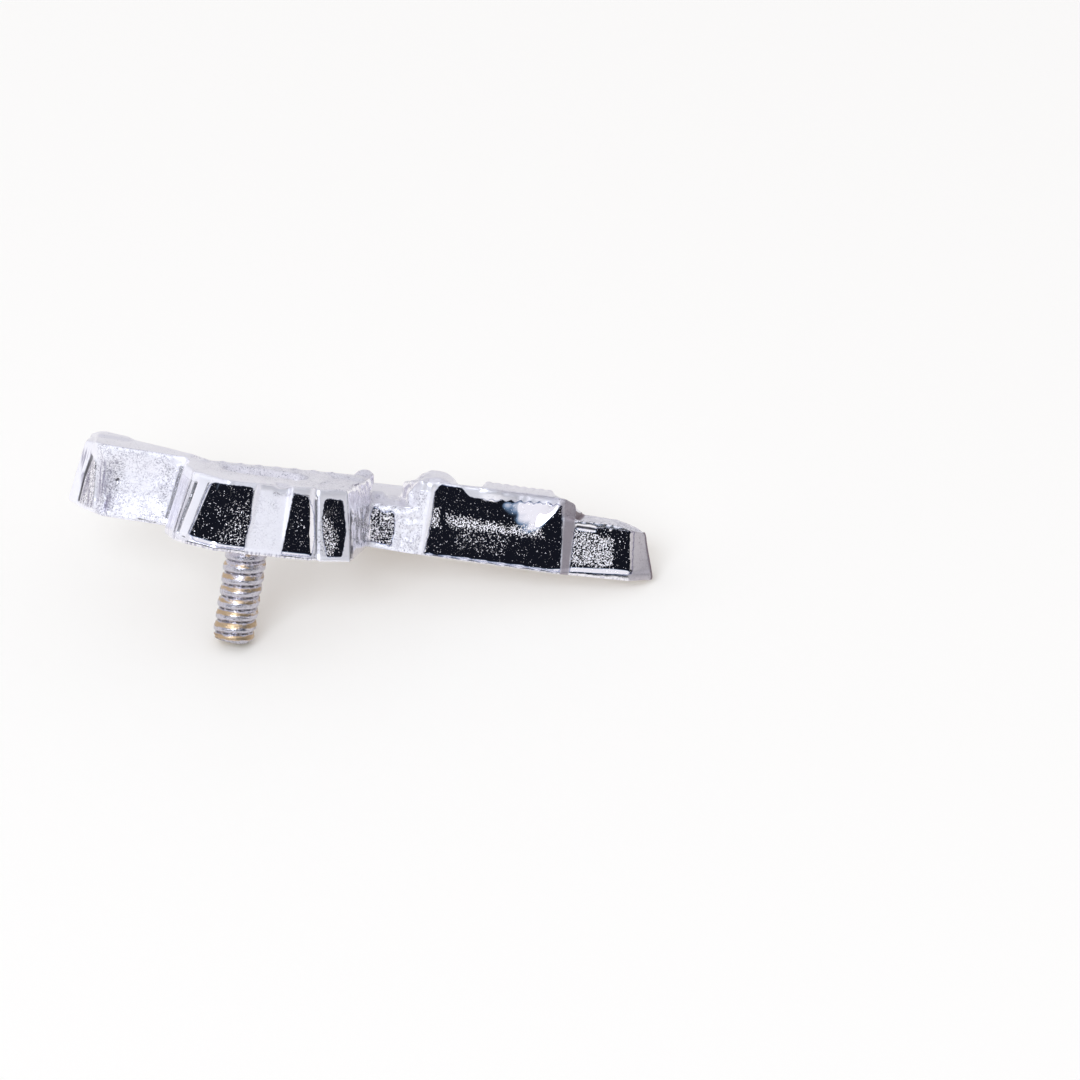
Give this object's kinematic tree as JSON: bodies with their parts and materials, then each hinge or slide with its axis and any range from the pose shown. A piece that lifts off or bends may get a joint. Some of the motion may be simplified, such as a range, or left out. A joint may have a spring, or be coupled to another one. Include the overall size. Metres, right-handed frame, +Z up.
{
  "type": "labret top",
  "caption": "Small cast and plated metal sprig of leaves with a threaded pin under it, which screws into a body jewellery post.",
  "frame": {"origin": "middle of the part's box on the surface it lies on", "axes": "+X along the sprig from its lobed leaf to its ribbed leaf's tip, +Y away from the side that is seen, +Z up from the surface"},
  "size_m": [0.0116, 0.0056, 0.0039],
  "materials": {
    "plated_casting": "bright white plating over rough-cast metal, mirror in places and pitted in others",
    "steel_pin": "screw-cut steel, grey with worn yellow-brown bands"
  },
  "bodies": {
    "root": {"cast_sprig": "plated_casting", "threaded_pin": "steel_pin"}
  },
  "joints": []
}
